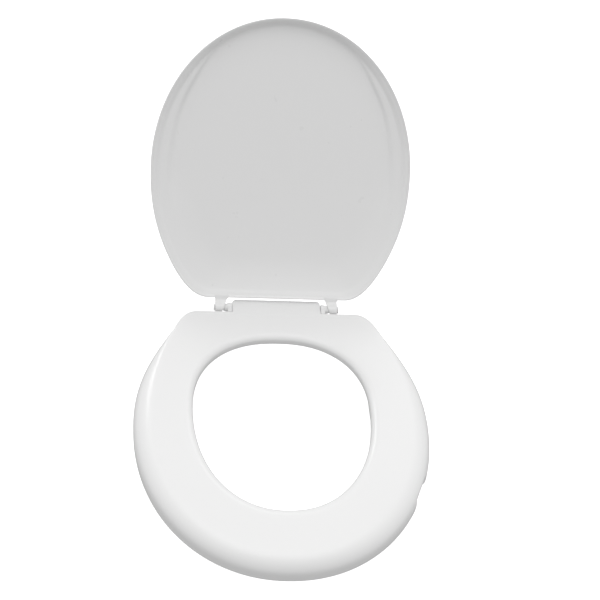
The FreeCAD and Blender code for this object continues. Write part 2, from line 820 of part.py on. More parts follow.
def build_bracket(name, side, row):
    """A slotted plate with two legs that hang inside the bowl."""
    body = new_body(f"bracket_{name}")
    inner = size("bracket_inner_edge") * side
    leg_inner = size("bracket_leg_face") * side
    leg_outer = leg_inner + size("bracket_plate") * side
    half = size("bracket_length") / 2
    x_low, x_high = sorted((inner, leg_outer))
    plate = rectangle(x_low, row - half, x_high, row + half)
    pad(body, "plate", plate, "Sizes.bracket_plate", offset=PLATE_LEVEL)
    nose = size("bracket_nose_edge") * side
    x_low, x_high = sorted((leg_inner, nose))
    nose_half = size("bracket_nose_width") / 2
    tip = rectangle(x_low, row - nose_half, x_high, row + nose_half)
    pad(body, "nose", tip, "Sizes.bracket_plate", offset=PLATE_LEVEL)
    legs = []
    x_low, x_high = sorted((leg_inner, leg_outer))
    for end in (-1, 1):
        y_low, y_high = sorted((row + end * half, row + end * (half - size("bracket_leg_width"))))
        legs += rectangle(x_low, y_low, x_high, y_high)
    pad(body, "legs", legs, "Sizes.bracket_leg_height")

    radius = size("bolt_radius") + size("slot_clearance")
    near = (size("bracket_column") - size("bracket_out_travel")) * side
    far = (size("bracket_column") + size("bracket_in_travel")) * side
    slot_low, slot_high = sorted((near, far))
    middle = rectangle(slot_low, row - radius, slot_high, row + radius)
    cuts = {"slot": middle, "near": circle(near, row, radius), "far": circle(far, row, radius)}
    depth = f"Sizes.bracket_plate + {2 * THROUGH}"
    for tag, cut in cuts.items():
        pocket(body, tag, cut, depth, offset=PLATE_LEVEL - THROUGH, flip=True)


def build_leg_pads(name, side, row):
    """Rubber faces on a bracket's two legs, each a separate solid."""
    face = (size("bracket_leg_face") + size("bracket_plate") + size("contact_gap")) * side
    x_low, x_high = sorted((face, face + size("leg_pad_depth") * side))
    margin = size("leg_pad_margin")
    blocks = []
    for end in (-1, 1):
        edge = row + end * (size("bracket_length") / 2 - margin)
        y_low, y_high = sorted((edge, edge - end * (size("bracket_leg_width") - 2 * margin)))
        corner = Vector(x_low, y_low, size("leg_pad_start"))
        block = Part.makeBox(x_high - x_low, y_high - y_low, size("leg_pad_height"), corner)
        blocks.append(block.makeFillet(margin, block.Edges))
    feature = doc.addObject("Part::Feature", f"leg_pads_{name}")
    feature.Label = f"leg_pads_{name}"
    feature.Shape = Part.makeCompound(blocks)
    parts.append(feature)


def build_bolt(name, side, row):
    """A flat coin-slotted plastic bolt that locks one bracket."""
    head = Part.makeCylinder(size("bolt_head_radius"), size("bolt_head_depth"))
    head = head.makeFillet(size("bolt_head_round"), lowest_edges(head))
    slot_length = size("bolt_slot_length")
    slot_width = size("bolt_slot_width")
    slot_start = Vector(-slot_length / 2, -slot_width / 2, 0)
    slot = Part.makeBox(slot_length, slot_width, size("bolt_slot_depth"), slot_start)
    shank_length = size("washer_depth") + size("bracket_plate") + size("bolt_grip")
    shank = Part.makeCylinder(size("bolt_radius"), shank_length, Vector(0, 0, size("bolt_slot_depth")))
    feature = doc.addObject("Part::Feature", f"bracket_bolt_{name}")
    feature.Label = f"bracket_bolt_{name}"
    feature.Shape = head.cut(slot).fuse(shank).removeSplitter()
    place = Vector(side * size("bracket_column"), row, BOLT_HEAD_LEVEL)
    feature.Placement = Placement(place, Rotation())
    parts.append(feature)


def build_washers():
    """A plain washer between each bolt's head and its bracket."""
    level = BOLT_HEAD_LEVEL + size("bolt_head_depth") + size("contact_gap")
    depth = size("washer_depth") - size("washer_play")
    rings = []
    for _, side, row in bracket_columns():
        place = Vector(side * size("bracket_column"), row, level)
        disc = Part.makeCylinder(size("bolt_head_radius") - size("bolt_head_round"), depth, place)
        hole = Part.makeCylinder(size("bolt_radius") + size("free_gap"), depth, place)
        rings.append(disc.cut(hole))
    feature = doc.addObject("Part::Feature", "bracket_washers")
    feature.Label = "bracket_washers"
    feature.Shape = Part.makeCompound(rings)
    parts.append(feature)


# ---------------------------------------------------------------- build, check and write

build_seat_ring()
build_riser()
build_riser_screws()
build_rest_pads()
build_lugs()
build_pins()
build_lid()
for bracket in bracket_columns():
    build_bracket(*bracket)
    build_leg_pads(*bracket)
    build_bolt(*bracket)
build_washers()
doc.recompute()

for item in doc.Objects:
    if {"Invalid", "Error"} & set(item.State):
        raise ValueError(f"{item.Name} failed: {item.State}")
os.makedirs("parts", exist_ok=True)
box = FreeCAD.BoundBox()
for part in parts:
    if part.Shape.isNull() or not part.Shape.isValid():
        raise ValueError(f"{part.Label} has no valid shape")
    box.add(part.Shape.BoundBox)
    part.Shape.exportStep(f"parts/{part.Label}.step")
    print(f"{part.Label}: {len(part.Shape.Solids)} solids, {part.Shape.Volume / 1000:.1f} cm3")
print(f"box {box}")
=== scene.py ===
import json
import math

import bmesh
import bpy
import numpy as np
from mathutils import Matrix, Vector


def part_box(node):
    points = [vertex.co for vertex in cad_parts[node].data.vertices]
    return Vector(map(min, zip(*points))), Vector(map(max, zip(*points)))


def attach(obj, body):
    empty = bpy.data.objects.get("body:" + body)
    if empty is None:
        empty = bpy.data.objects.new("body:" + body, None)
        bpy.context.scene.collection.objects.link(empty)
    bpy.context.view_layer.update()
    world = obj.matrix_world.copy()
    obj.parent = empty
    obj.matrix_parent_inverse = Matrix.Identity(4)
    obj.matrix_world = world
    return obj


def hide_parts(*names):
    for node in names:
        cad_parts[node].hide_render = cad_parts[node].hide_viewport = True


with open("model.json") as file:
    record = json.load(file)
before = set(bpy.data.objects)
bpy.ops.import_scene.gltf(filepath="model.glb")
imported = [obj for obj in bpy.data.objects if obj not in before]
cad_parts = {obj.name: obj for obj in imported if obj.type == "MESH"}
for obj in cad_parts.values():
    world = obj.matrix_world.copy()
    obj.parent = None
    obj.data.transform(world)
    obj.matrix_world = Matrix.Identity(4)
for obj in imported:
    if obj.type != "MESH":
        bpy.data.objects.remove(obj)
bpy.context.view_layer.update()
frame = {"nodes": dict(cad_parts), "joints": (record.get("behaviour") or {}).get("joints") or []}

# Raised toilet seat with its lid open.  Lengths are in metres; MM turns millimetres into metres.

MM = 0.001

# ---------------------------------------------------------------- sizes read from the frame

RING_LOW, RING_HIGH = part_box("seat_ring")
JOINTS = {joint["name"]: joint for joint in frame["joints"]}
HINGE = Vector(JOINTS["lid_hinge"]["pos_m"])
LID_OPEN = math.radians(JOINTS["lid_hinge"]["range_deg"][1])

RING_DEPTH = 26 * MM
TOP = RING_HIGH.z
SKIRT = TOP - RING_DEPTH
HALF_WIDTH = RING_HIGH.x
TONGUE_REACH = 23.8 * MM
TONGUE_HALF = 60.5 * MM
BACK_INSET = 3.3 * MM
BACK_EDGE = RING_HIGH.y - TONGUE_REACH + BACK_INSET
FRONT_REACH = 221.8 * MM
STATION = RING_LOW.y + FRONT_REACH
BACK_REACH = BACK_EDGE - STATION

# the tongue behind the ring
TONGUE_OVERLAP = 9 * MM
TONGUE_CORNER = 6 * MM
TONGUE_THICKNESS = 12 * MM
TONGUE_PROUD = 0.02 * MM
TONGUE_BEVEL = 0.7 * MM

# outline of the seat
FRONT_POWER = 2.08
FLANK_POWER = 2.08
FLAT_HALF = 109 * MM
CORNER = 31.7 * MM
CORNER_SPREAD = 0.9
TIP_GAP = 6 * MM

# section of the ring
FLANK_START = 10.8 * MM
FLANK_INSET = 22.2 * MM
WALL = 3.4 * MM
LIP_REACH = 12 * MM
LIP_SIDE_TOP = 18 * MM
LIP_BOTTOM = 12 * MM
TOP_DIP = 1.4 * MM
DIP_POWER = 1.6
LOWER_EDGE = 0.9 * MM
EDGE_EASE = 0.3
LIP_SIDE_MIDDLE = 16 * MM
LIP_BACK_TOP = 17 * MM
HAUNCH_REACH = 2.5 * MM
HAUNCH_DROP = 1.5 * MM

# loops of vertices along each stretch of the section
SKIRT_LOOPS = 4
FLANK_LOOPS = 15
TOP_LOOPS = 14
LIP_LOOPS = 11
INNER_FLANK_LOOPS = 9

# the opening
OPENING_STATION = STATION + 15.6 * MM
OPENING_HALF = 112.1 * MM
OPENING_FRONT = 156 * MM
OPENING_BACK = 112.4 * MM
OPENING_POWER_FRONT = 2.16
OPENING_POWER_BACK = 2.27

# ribs and bosses under the ring, and the hand notch
RIB_COUNT = 16
RIB_THICKNESS = 2.6 * MM
LOW_RIB_START = 18 * MM
RIB_TURNS = (20, 45, 70, 90)
RIB_SINK = 1.6
BACK_SPREAD = 0.5
SCREW_ANGLES = (10, 50, 90, 130, 170, 212, 270, 328)
SCREW_SPREAD = 8
SCREW_BOSS = (5.5 * MM, 2.05 * MM)
CLAMP_BOSS = (7 * MM, 3.05 * MM)
CLAMP_DROP = 16.7 * MM
NOTCH_ANGLE = math.radians(-37)
NOTCH_TURN = math.radians(-24)
NOTCH_REACH = 201.9 * MM
NOTCH_HALF = 18 * MM
NOTCH_SLOPE = 24 * MM
NOTCH_DEPTH = 10 * MM
NOTCH_HEIGHT = 19 * MM
NOTCH_WALL = 4 * MM
NOTCH_GAP = 0.1 * MM

# shares of half the outline taken by the straight back, the corner and the flank
FLAT_SHARE = 0.16
CORNER_SHARE = 0.23
FLANK_SHARE = 0.46
COLUMNS = 512
MEASURING_STEPS = 12000
CIRCLE_STEPS = 48
CORNER_STEPS = 8
CONE_STEPS = 64
BEVEL_SEGMENTS = 3
SHARP_ANGLE = math.radians(35)


# ---------------------------------------------------------------- outlines


def power(values, exponent):
    return np.sign(values) * np.abs(values) ** exponent


def egg_outline(places, half_width, front_reach, back_reach, flat_half, corner, spread, front_power,
                flank_power):
    """Points of an egg-shaped outline at places from 0 to 1 round it.

    From the middle of the back: the straight back, a rounded corner, the flank, the front half,
    and the same again mirrored.  The same place on two outlines gives matching points.
    """
    corner_x = flat_half + spread * corner
    corner_y = back_reach - corner
    slope = flank_power * (half_width - corner_x) / corner_y
    tip_x = corner_x - slope * corner
    flat_x = np.minimum(flat_half, tip_x - TIP_GAP)
    half = np.where(places <= 0.5, places, 1 - places) * 2

    share = half / FLAT_SHARE
    flat = (flat_x * share, back_reach + 0 * share)

    share = (half - FLAT_SHARE) / (CORNER_SHARE - FLAT_SHARE)
    first, tip, last = (1 - share) ** 2, 2 * share * (1 - share), share ** 2
    rounded = (first * flat_x + tip * tip_x + last * corner_x, (first + tip) * back_reach + last * corner_y)

    share = np.clip((FLANK_SHARE - half) / (FLANK_SHARE - CORNER_SHARE), 0, 1)
    flank = (half_width - (half_width - corner_x) * share ** flank_power, corner_y * share)

    angle = np.clip((half - FLANK_SHARE) / (1 - FLANK_SHARE), 0, 1) * math.pi / 2
    front = (half_width * power(np.cos(angle), 2 / front_power),
             -front_reach * power(np.sin(angle), 2 / front_power))

    part = [half < FLAT_SHARE, half < CORNER_SHARE, half < FLANK_SHARE]
    x = np.select(part, [flat[0], rounded[0], flank[0]], front[0])
    y = np.select(part, [flat[1], rounded[1], flank[1]], front[1])
    return np.stack([np.where(places <= 0.5, x, -x), y + STATION], axis=1)


def seat_outline(places, side=0.0, front=0.0, back=0.0):
    """The seat's outline, drawn in by insets."""
    return egg_outline(places, HALF_WIDTH - side, FRONT_REACH - front, BACK_REACH - back, FLAT_HALF,
                       CORNER, CORNER_SPREAD, FRONT_POWER, FLANK_POWER)


def even_places(outline, count):
    """Places that lie evenly by length round an outline."""
    fine = np.linspace(0, 1, MEASURING_STEPS + 1)
    steps = np.linalg.norm(np.diff(outline(fine), axis=0), axis=1)
    length = np.concatenate([[0], np.cumsum(steps)])
    return np.interp(np.arange(count) / count * length[-1], length, fine)


PLACES = even_places(seat_outline, COLUMNS)


def opening_radius(angle):
    """The opening's reach from its own middle, in directions given by angles."""
    towards_back = np.sin(angle) > 0
    reach = np.where(towards_back, OPENING_BACK, OPENING_FRONT)
    exponent = np.where(towards_back, OPENING_POWER_BACK, OPENING_POWER_FRONT)
    across = np.abs(np.cos(angle) / OPENING_HALF) ** exponent
    along = np.abs(np.sin(angle) / reach) ** exponent
    return (across + along) ** (-1 / exponent)


def seat_radius(angle):
    """The seat's reach from the opening's middle, in a direction given by an angle."""
    offset = seat_outline(PLACES) - np.array([0, OPENING_STATION])
    return np.interp(angle, np.arctan2(offset[:, 1], offset[:, 0]), np.linalg.norm(offset, axis=1),
                     period=2 * math.pi)


def opening_outline(grow=0.0):
    """Points of the opening in the directions of the outer outline's points."""
    direction = seat_outline(PLACES) - np.array([0, OPENING_STATION])
    angle = np.arctan2(direction[:, 1], direction[:, 0])
    radius = opening_radius(angle)
    points = np.stack([radius * np.cos(angle), radius * np.sin(angle) + OPENING_STATION], axis=1)
    ahead = np.roll(points, -1, axis=0) - np.roll(points, 1, axis=0)
    ahead /= np.linalg.norm(ahead, axis=1)[:, None]
    outward = np.stack([ahead[:, 1], -ahead[:, 0]], axis=1)
    if (outward * direction).sum() < 0:
        outward = -outward
    return points + outward * grow


# ---------------------------------------------------------------- mesh helpers


def add_object(name, mesh):
    item = bpy.data.objects.new(name, mesh)
    bpy.context.scene.collection.objects.link(item)
    return item


def mesh_from(name, points, faces):
    mesh = bpy.data.meshes.new(name)
    mesh.from_pydata([tuple(p) for p in points], [], faces)
    mesh.validate()
    return mesh


def loop_faces(rows, columns, closed_rows):
    """Quads of a grid whose columns close on themselves, and its rows too if asked."""
    faces = []
    for r in range(rows if closed_rows else rows - 1):
        here, there = r * columns, (r + 1) % rows * columns
        for c in range(columns):
            d = (c + 1) % columns
            faces.append((here + c, here + d, there + d, there + c))
    return faces


def smooth_object(item, angle=40):
    """Smooth shading, but for edges sharper than the angle in degrees."""
    item.data.shade_smooth()
    bpy.context.view_layer.objects.active = item
    with bpy.context.temp_override(object=item, active_object=item, selected_editable_objects=[item]):
        bpy.ops.object.shade_smooth_by_angle(angle=math.radians(angle))


def fix_normals(mesh):
    bm = bmesh.new()
    bm.from_mesh(mesh)
    bmesh.ops.recalc_face_normals(bm, faces=bm.faces)
    bm.to_mesh(mesh)
    bm.free()


def join(name, items):
    """One object from several, with all their closed shells."""
    bm = bmesh.new()
    for item in items:
        part = item.data.copy()
        part.transform(item.matrix_world)
        bm.from_mesh(part)
        bpy.data.meshes.remove(part)
    mesh = bpy.data.meshes.new(name)
    bm.to_mesh(mesh)
    bm.free()
    for item in items:
        bpy.data.objects.remove(item)
    return add_object(name, mesh)


def apply_boolean(item, tool, operation):
    modifier = item.modifiers.new("bool", "BOOLEAN")
    modifier.object = tool
    modifier.operation = operation
    modifier.solver = "EXACT"
    bpy.context.view_layer.update()
    graph = bpy.context.evaluated_depsgraph_get()
    mesh = bpy.data.meshes.new_from_object(item.evaluated_get(graph))
    item.modifiers.clear()
    item.data = mesh
    bpy.data.objects.remove(tool)
    return item


def extruded(name, outline, axis, start, end, bevel=0.0):
    """A prism: a closed outline of 2-D points pushed along an axis, with its edges rounded."""
    bm = bmesh.new()
    rings = []
    for depth in (start, end):
        ring = []
        for u, v in outline:
            place = {"x": (depth, u, v), "y": (u, depth, v), "z": (u, v, depth)}[axis]
            ring.append(bm.verts.new(place))
        rings.append(ring)
    count = len(outline)
    bm.faces.new(rings[0])
    bm.faces.new(list(reversed(rings[1])))
    for k in range(count):
        n = (k + 1) % count
        bm.faces.new((rings[0][k], rings[1][k], rings[1][n], rings[0][n]))
    bmesh.ops.recalc_face_normals(bm, faces=bm.faces)
    if bevel:
        sharp = [e for e in bm.edges if e.calc_face_angle(0) > SHARP_ANGLE]
        bmesh.ops.bevel(bm, geom=sharp, offset=bevel, segments=BEVEL_SEGMENTS, profile=0.5,
                        affect="EDGES", clamp_overlap=True)
    mesh = bpy.data.meshes.new(name)
    bm.to_mesh(mesh)
    bm.free()
    return add_object(name, mesh)


def rounded_box_outline(x_low, y_low, x_high, y_high, radius):
    points = []
    corners = ((x_high, y_high, 0), (x_low, y_high, 90), (x_low, y_low, 180), (x_high, y_low, 270))
    for x, y, start in corners:
        cx = x - math.copysign(radius, x - (x_low + x_high) / 2)
        cy = y - math.copysign(radius, y - (y_low + y_high) / 2)
        for step in range(CORNER_STEPS + 1):
            angle = math.radians(start + 90 * step / CORNER_STEPS)
            points.append((cx + radius * math.cos(angle), cy + radius * math.sin(angle)))
    return points


def circle_outline(x, y, radius):
    angles = [2 * math.pi * step / CIRCLE_STEPS for step in range(CIRCLE_STEPS)]
    return [(x + radius * math.cos(angle), y + radius * math.sin(angle)) for angle in angles]


def tube(name, x, y, low, high, outer, inner):
    """An upright tube with its own wall."""
    rows = []
    for level, radius in ((low, outer), (high, outer), (high, inner), (low, inner)):
        rows += [(u, v, level) for u, v in circle_outline(x, y, radius)]
    mesh = mesh_from(name, rows, loop_faces(4, CIRCLE_STEPS, True))
    fix_normals(mesh)
    return add_object(name, mesh)


def cone_on_hinge(name, start, end, start_radius, end_radius):
    """A cone along X on the hinge line."""
    bm = bmesh.new()
    turn = Matrix.Rotation(math.copysign(math.pi / 2, end - start), 4, "Y")
    place = Matrix.Translation(((start + end) / 2, HINGE.y, HINGE.z)) @ turn
    bmesh.ops.create_cone(bm, cap_ends=True, segments=CONE_STEPS, radius1=start_radius,
                          radius2=end_radius, depth=abs(end - start), matrix=place)
    mesh = bpy.data.meshes.new(name)
    bm.to_mesh(mesh)
    bm.free()
    return add_object(name, mesh)


def loft(name, sections):
    """A closed skin through outlines of the same number of points, capped at both ends."""
    count = len(sections[0])
    faces = loop_faces(len(sections), count, False)
    total = count * len(sections)
    faces.append(tuple(range(count)))
    faces.append(tuple(range(total - 1, total - 1 - count, -1)))
    mesh = mesh_from(name, [point for section in sections for point in section], faces)
    fix_normals(mesh)
    return add_object(name, mesh)


# ---------------------------------------------------------------- materials

FINE_PEEL = 0.02 * MM
COARSE_PEEL = 0.06 * MM
CLOUDING = 0.004
DARK_WARMTH = 0.997


def new_material(name):
    material = bpy.data.materials.new(name)
    material.use_nodes = True
    nodes = material.node_tree.nodes
    shader = nodes["Principled BSDF"]
    return material, nodes, material.node_tree.links, shader


def add_noise(nodes, links, place, scale, detail):
    """A noise texture laid on the object's own coordinates."""
    noise = nodes.new("ShaderNodeTexNoise")
    noise.inputs["Scale"].default_value = scale
    noise.inputs["Detail"].default_value = detail
    links.new(place.outputs["Object"], noise.inputs["Vector"])
    return noise


def add_bump(nodes, links, noise, shader, distance, strength):
    """Fine relief that follows a noise texture."""
    bump = nodes.new("ShaderNodeBump")
    bump.inputs["Distance"].default_value = distance
    bump.inputs["Strength"].default_value = strength
    links.new(noise.outputs["Fac"], bump.inputs["Height"])
    links.new(bump.outputs["Normal"], shader.inputs["Normal"])


def add_roughness(nodes, links, noise, shader, smoothest, roughest):
    """Roughness that wanders between two values with a noise texture."""
    band = nodes.new("ShaderNodeMapRange")
    band.inputs["To Min"].default_value = smoothest
    band.inputs["To Max"].default_value = roughest
    links.new(noise.outputs["Fac"], band.inputs["Value"])
    links.new(band.outputs["Result"], shader.inputs["Roughness"])


def moulded_plastic(name, colour, roughness, peel=FINE_PEEL):
    """Moulded plastic: faint clouding in its colour, uneven gloss and a fine orange-peel surface."""
    material, nodes, links, shader = new_material(name)
    place = nodes.new("ShaderNodeTexCoord")

    cloud = add_noise(nodes, links, place, 7.0, 2.0)
    tint = nodes.new("ShaderNodeMix")
    tint.data_type = "RGBA"
    dark = [c * (1 - CLOUDING) for c in colour]
    light = [min(1.0, c * (1 + CLOUDING)) for c in colour]
    tint.inputs["A"].default_value = (dark[0], dark[1], dark[2] * DARK_WARMTH, 1)
    tint.inputs["B"].default_value = (light[0], light[1], light[2], 1)
    links.new(cloud.outputs["Fac"], tint.inputs["Factor"])
    links.new(tint.outputs["Result"], shader.inputs["Base Color"])

    gloss = add_noise(nodes, links, place, 60.0, 6.0)
    add_roughness(nodes, links, gloss, shader, roughness - 0.03, roughness + 0.05)
    grain = add_noise(nodes, links, place, 420.0, 2.0)
    add_bump(nodes, links, grain, shader, peel, 0.6)
    shader.inputs["IOR"].default_value = 1.49
    return material


def soft_rubber(name, colour):
    """Matt rubber with a fine grain and a dusty bloom."""
    material, nodes, links, shader = new_material(name)
    place = nodes.new("ShaderNodeTexCoord")
    grain = add_noise(nodes, links, place, 900.0, 3.0)
    ramp = nodes.new("ShaderNodeValToRGB")
    ramp.color_ramp.elements[0].position = 0.3
    ramp.color_ramp.elements[0].color = tuple(c * 0.85 for c in colour) + (1,)
    ramp.color_ramp.elements[1].position = 0.75
    ramp.color_ramp.elements[1].color = tuple(min(1, c * 1.12) for c in colour) + (1,)
    links.new(grain.outputs["Fac"], ramp.inputs["Fac"])
    links.new(ramp.outputs["Color"], shader.inputs["Base Color"])
    add_bump(nodes, links, grain, shader, 0.0001, 0.5)
    shader.inputs["Roughness"].default_value = 0.82
    return material


def plated_steel(name):
    """Zinc-plated steel with a turned grain."""
    material, nodes, links, shader = new_material(name)
    place = nodes.new("ShaderNodeTexCoord")
    grain = add_noise(nodes, links, place, 300.0, 5.0)
    ramp = nodes.new("ShaderNodeValToRGB")
    ramp.color_ramp.elements[0].color = (0.42, 0.43, 0.44, 1)
    ramp.color_ramp.elements[1].color = (0.68, 0.68, 0.66, 1)
    links.new(grain.outputs["Fac"], ramp.inputs["Fac"])
    links.new(ramp.outputs["Color"], shader.inputs["Base Color"])
    add_roughness(nodes, links, grain, shader, 0.22, 0.42)
    shader.inputs["Metallic"].default_value = 1.0
    return material


SEAT_WHITE = moulded_plastic("seat_white", (0.86, 0.86, 0.86), 0.24)
LID_WHITE = moulded_plastic("lid_white", (0.87, 0.87, 0.87), 0.28)
HINGE_WHITE = moulded_plastic("hinge_white", (0.85, 0.85, 0.85), 0.30)
RISER_WHITE = moulded_plastic("riser_white", (0.78, 0.78, 0.77), 0.48, peel=COARSE_PEEL)
BRACKET_WHITE = moulded_plastic("bracket_white", (0.74, 0.74, 0.73), 0.5, peel=COARSE_PEEL)
BOLT_WHITE = moulded_plastic("bolt_white", (0.70, 0.70, 0.70), 0.42)
GREY_RUBBER = soft_rubber("grey_rubber", (0.25, 0.25, 0.26))
STEEL = plated_steel("plated_steel")


def finish_piece(item, material, body, slot, *nodes):
    item.data.materials.clear()
    item.data.materials.append(material)
    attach(item, body)
    if nodes:
        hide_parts(*nodes)


# ---------------------------------------------------------------- seat ring


def outer_row(flank, wall, level):
    """One loop of the ring's outside: an inset of the rounded flank plus an even wall inset."""
    back = BACK_INSET * flank / FLANK_INSET
    points = seat_outline(PLACES, flank + wall, flank + wall, back + wall)
    return np.column_stack([points, np.full(COLUMNS, level)])


def inner_row(grow, level):
    return np.column_stack([opening_outline(grow), np.full(COLUMNS, level)])


def top_rows(drop, count):
    """Loops between the ridge and the lip; the top dips a little towards the opening."""
    ridge = outer_row(FLANK_INSET, 0.0, 0.0)[:, :2]
    lip = opening_outline(LIP_REACH)
    rows = []
    for step in range(1, count):
        share = step / count
        points = ridge * (1 - share) + lip * share
        level = TOP - drop - TOP_DIP * share ** DIP_POWER
        rows.append(np.column_stack([points, np.full(COLUMNS, level)]))
    return rows


def flank_rows(wall, turns):
    rows = []
    for turn in turns:
        angle = math.radians(turn)
        inset = (FLANK_INSET - wall) * (1 - math.cos(angle))
        rise = (RING_DEPTH - FLANK_START - wall) * math.sin(angle)
        rows.append(outer_row(inset, wall, SKIRT + FLANK_START + rise))
    return rows


def ring_section():
    """All loops of the ring's closed section, from the skirt's lower edge and round."""
    eased_edge = LOWER_EDGE * EDGE_EASE
    rows = [outer_row(0, LOWER_EDGE, SKIRT), outer_row(0, eased_edge, SKIRT + eased_edge)]
    rows += [outer_row(0, 0, SKIRT + z) for z in np.linspace(LOWER_EDGE, FLANK_START, SKIRT_LOOPS)]
    rows += flank_rows(0.0, np.linspace(0, 90, FLANK_LOOPS)[1:])
    rows += top_rows(0.0, TOP_LOOPS)
    lip_rise = RING_DEPTH - TOP_DIP - LIP_SIDE_TOP
    for turn in np.linspace(0, 90, LIP_LOOPS):
        angle = math.radians(turn)
        grow = LIP_REACH * (1 - math.sin(angle))
        rows.append(inner_row(grow, SKIRT + LIP_SIDE_TOP + lip_rise * math.cos(angle)))
    rows += [inner_row(0, SKIRT + z) for z in (LIP_SIDE_MIDDLE, LIP_BOTTOM + LOWER_EDGE)]
    rows.append(inner_row(eased_edge, SKIRT + LIP_BOTTOM + eased_edge))
    rows.append(inner_row(LOWER_EDGE, SKIRT + LIP_BOTTOM))
    rows += [inner_row(WALL, SKIRT + LIP_BOTTOM), inner_row(WALL, SKIRT + LIP_BACK_TOP)]
    rows.append(inner_row(WALL + HAUNCH_REACH, TOP - TOP_DIP - WALL - HAUNCH_DROP))
    # the two loops nearest the ridge would make the section cross itself, so they are left out
    rows += top_rows(WALL, TOP_LOOPS)[:1:-1]
    rows += flank_rows(WALL, np.linspace(90, 0, INNER_FLANK_LOOPS))
    rows += [outer_row(0, WALL, SKIRT + LOWER_EDGE), outer_row(0, WALL - LOWER_EDGE, SKIRT)]
    return rows


def build_ring_shell():
    rows = ring_section()
    mesh = mesh_from("seat_ring_shell", np.concatenate(rows), loop_faces(len(rows), COLUMNS, True))
    fix_normals(mesh)
    return add_object("seat_ring_shell", mesh)


def build_tongue():
    """The flat tongue behind the ring, flush with its top."""
    outline = rounded_box_outline(-TONGUE_HALF, BACK_EDGE - TONGUE_OVERLAP, TONGUE_HALF, RING_HIGH.y,
                                  TONGUE_CORNER)
    return extruded("tongue", outline, "z", TOP - TONGUE_THICKNESS, TOP + TONGUE_PROUD, bevel=TONGUE_BEVEL)


def turn_about_opening(item, angle):
    place = Matrix.Translation((0, OPENING_STATION, 0)) @ Matrix.Rotation(angle, 4, "Z")
    item.data.transform(place)
    return item


def notch_block(name, points, low, high):
    """A block whose plan is given as (across, outward) points about the middle of the notch."""
    middle = Vector((math.cos(NOTCH_ANGLE), math.sin(NOTCH_ANGLE))) * NOTCH_REACH
    middle += Vector((0, OPENING_STATION))
    outward = Vector((math.cos(NOTCH_TURN), math.sin(NOTCH_TURN)))
    across = Vector((-outward.y, outward.x))
    return extruded(name, [middle + across * u + outward * v for u, v in points], "z", low, high)


def build_notch_cutter():
    """What the notch takes out of the flank: it has slanted ends."""
    outer = NOTCH_HALF + NOTCH_SLOPE
    plan = [(-NOTCH_HALF, 0), (NOTCH_HALF, 0), (outer, NOTCH_DEPTH), (-outer, NOTCH_DEPTH)]
    return notch_block("notch", plan, SKIRT - NOTCH_DEPTH, SKIRT + NOTCH_HEIGHT)


def build_notch_wall():
    """The wall that closes the ring behind the notch."""
    half = NOTCH_HALF + NOTCH_WALL
    plan = [(-half, -NOTCH_WALL), (half, -NOTCH_WALL), (half, -NOTCH_GAP), (-half, -NOTCH_GAP)]
    return notch_block("notch_wall", plan, SKIRT, SKIRT + LIP_BOTTOM)


def build_rib(angle):
    """A radial rib, high between lip and flank and low out to the skirt, let into the wall."""
    hole = float(opening_radius(angle))
    skin = WALL / 2
    edge = float(seat_radius(angle)) - skin
    profile = [(hole + LOW_RIB_START, SKIRT), (edge, SKIRT), (edge, SKIRT + FLANK_START)]
    straight_back = abs(abs(angle) - math.pi / 2) < BACK_SPREAD and angle > 0
    depth = (BACK_INSET if straight_back else FLANK_INSET) - skin
    for turn in RIB_TURNS:
        swing = math.radians(turn)
        rise = (RING_DEPTH - FLANK_START - skin) * math.sin(swing)
        profile.append((edge - depth * (1 - math.cos(swing)), SKIRT + FLANK_START + rise))
    profile += [
        (hole + LIP_REACH, TOP - TOP_DIP - skin),
        (hole + LIP_REACH / 2, TOP - TOP_DIP - RIB_SINK * skin),
        (hole + skin, SKIRT + LIP_SIDE_TOP),
        (hole + skin, SKIRT + LIP_BOTTOM + skin),
        (hole + LOW_RIB_START, SKIRT + LIP_BOTTOM + skin),
    ]
    rib = extruded("rib", profile, "y", -RIB_THICKNESS / 2, RIB_THICKNESS / 2)
    return turn_about_opening(rib, angle)


def screw_places():
    """The middle of each screw, from the CAD screws that lie in its direction."""
    mesh = frame["nodes"]["riser_screws"].data
    corners = np.array([tuple(vertex.co)[:2] for vertex in mesh.vertices])
    offset = corners - np.array([0, OPENING_STATION])
    angle = np.degrees(np.arctan2(offset[:, 1], offset[:, 0]))
    places = []
    for wanted in SCREW_ANGLES:
        apart = np.abs((angle - wanted + 180) % 360 - 180)
        near = corners[apart < SCREW_SPREAD]
        places.append((near.min(axis=0) + near.max(axis=0)) / 2)
    return places


def build_ring_fittings():
    """Ribs, screw bosses and clamp bosses, which stand inside the ring's shell."""
    full_turn = 2 * math.pi
    items = [build_rib(math.remainder(full_turn * k / RIB_COUNT, full_turn)) for k in range(RIB_COUNT)]
    high = TOP - TOP_DIP - WALL / 2
    for x, y in screw_places():
        items.append(tube("screw_boss", x, y, SKIRT, high, *SCREW_BOSS))
    for row in ("front", "back"):
        for side in ("left", "right"):
            low_corner, high_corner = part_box(f"bracket_bolt_{row}_{side}")
            x, y = (low_corner.x + high_corner.x) / 2, (low_corner.y + high_corner.y) / 2
            items.append(tube("clamp_boss", x, y, SKIRT - CLAMP_DROP, high, *CLAMP_BOSS))
    return items


ring = build_ring_shell()
ring = apply_boolean(ring, build_tongue(), "UNION")
ring = apply_boolean(ring, build_notch_cutter(), "DIFFERENCE")
ring = join("seat_ring_shell", [ring, build_notch_wall()] + build_ring_fittings())
smooth_object(ring)
finish_piece(ring, SEAT_WHITE, "seat", "seat_plastic", "seat_ring")


# ---------------------------------------------------------------- lid

